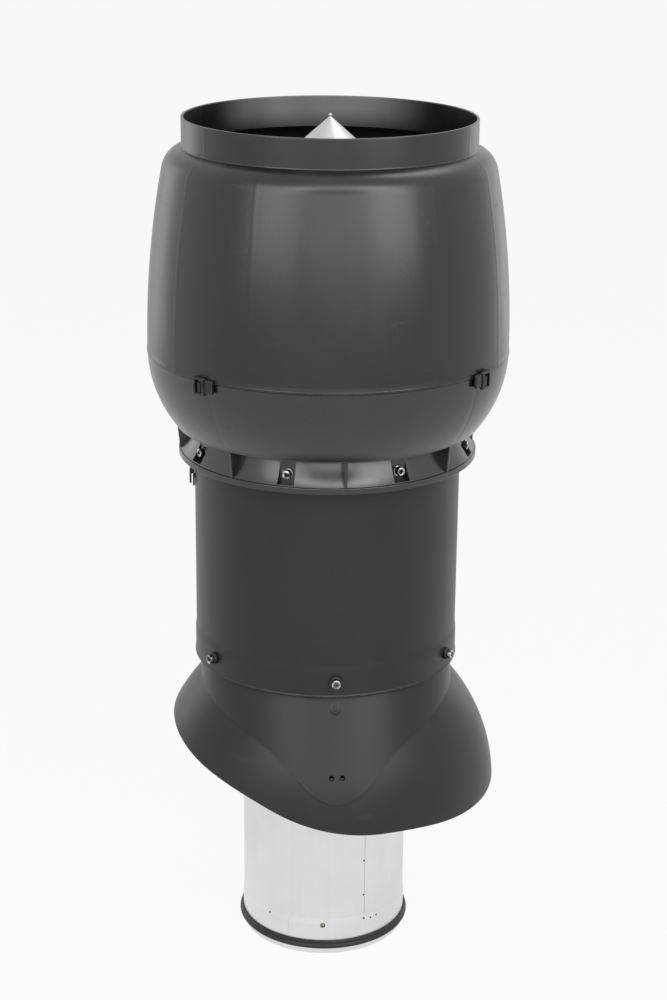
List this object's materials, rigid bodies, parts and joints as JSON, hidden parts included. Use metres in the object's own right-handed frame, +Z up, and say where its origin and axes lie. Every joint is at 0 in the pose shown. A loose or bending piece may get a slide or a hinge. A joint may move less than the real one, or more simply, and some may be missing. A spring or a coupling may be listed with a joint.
{
  "type": "roof vent outlet",
  "caption": "Insulated roof vent outlet: dark barrel-shaped hood with an open mouth and rain cone, plastic pipe, tilting ball-shaped roof skirt, and a steel duct below.",
  "frame": {"origin": "centre of the duct's lower end", "axes": "+Z up the pipe's axis, -Y to the front where the visor points, +X to the right"},
  "size_m": [0.4231, 0.4232, 1.0227],
  "materials": {
    "hood_plastic": "semi-gloss moulded charcoal",
    "pipe_plastic": "satin charcoal",
    "black_plastic": "black moulded",
    "galvanised": "bright galvanised",
    "cone_sheet": "dull sheet metal",
    "spring_steel": "plain steel",
    "fasteners": "plated",
    "rubber": "black rubber",
    "insulation": "soft fibre"
  },
  "bodies": {
    "outlet": {"inner_duct": "galvanised", "duct_coupling": "galvanised", "duct_gasket": "rubber", "duct_rivets": "galvanised", "outer_pipe": "pipe_plastic", "insulation_base": "black_plastic", "insulation_sleeve": "insulation", "insulation_cap": "black_plastic", "neck_collar": "pipe_plastic", "neck_washers": "rubber", "neck_screws": "fasteners", "neck_nuts": "fasteners", "spring_band": "spring_steel", "band_bolt": "fasteners", "band_nut": "fasteners", "dome_springs": "spring_steel", "lower_housing": "hood_plastic", "hood_clips": "black_plastic", "housing_washers": "fasteners", "housing_screws": "fasteners", "cable_hook": "black_plastic", "upper_hood": "hood_plastic", "rain_cone": "cone_sheet", "cone_rivet": "fasteners", "cone_struts": "spring_steel", "strut_rivets": "fasteners"},
    "skirt": {"skirt_dome": "pipe_plastic"}
  },
  "joints": [
    {"name": "skirt_tilt", "type": "hinge", "parent": "outlet", "child": "skirt", "pos_m": [0, 0, 0.19645], "axis": [0.4726, 0.8813, 0], "range_deg": [-12.8, 1]}
  ]
}
